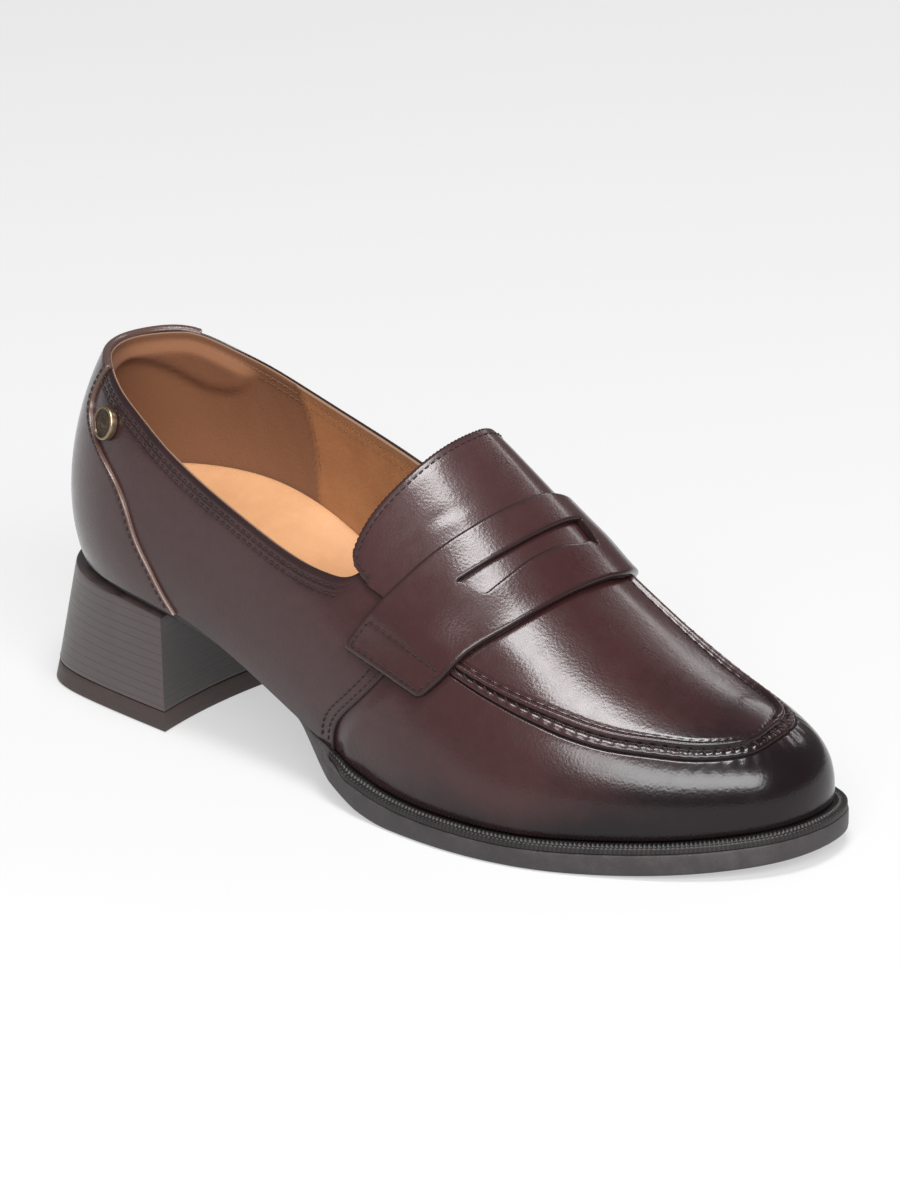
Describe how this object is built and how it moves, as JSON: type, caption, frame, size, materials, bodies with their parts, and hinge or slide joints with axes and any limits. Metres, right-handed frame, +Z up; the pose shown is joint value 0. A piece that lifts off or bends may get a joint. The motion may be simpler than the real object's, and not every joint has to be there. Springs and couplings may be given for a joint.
{
  "type": "loafer pump",
  "caption": "Right loafer pump with a block heel, a slotted strap over a tongue, a raised apron seam and a round badge by the backstay.",
  "frame": {"origin": "middle of the heel's bottom face, on the floor", "axes": "+X to the toe, +Y to the inner (medial) side, +Z up"},
  "size_m": [0.2596, 0.0926, 0.1011],
  "materials": {
    "oxblood_leather": "polished, burnished darker at the edges",
    "strap_leather": "polished, folded edges",
    "tan_lining": "smooth, matt",
    "welt_rubber": "fine ribs on top",
    "sole_rubber": "matt",
    "stacked_heel": "stained stack, satin",
    "aged_brass": "aged, satin"
  },
  "bodies": {
    "root": {"upper": "oxblood_leather", "counter": "oxblood_leather", "tongue": "oxblood_leather", "strap": "strap_leather", "insole": "tan_lining", "welt": "welt_rubber", "outsole": "sole_rubber", "heel": "stacked_heel", "top_piece": "sole_rubber", "badge": "aged_brass"}
  },
  "joints": []
}
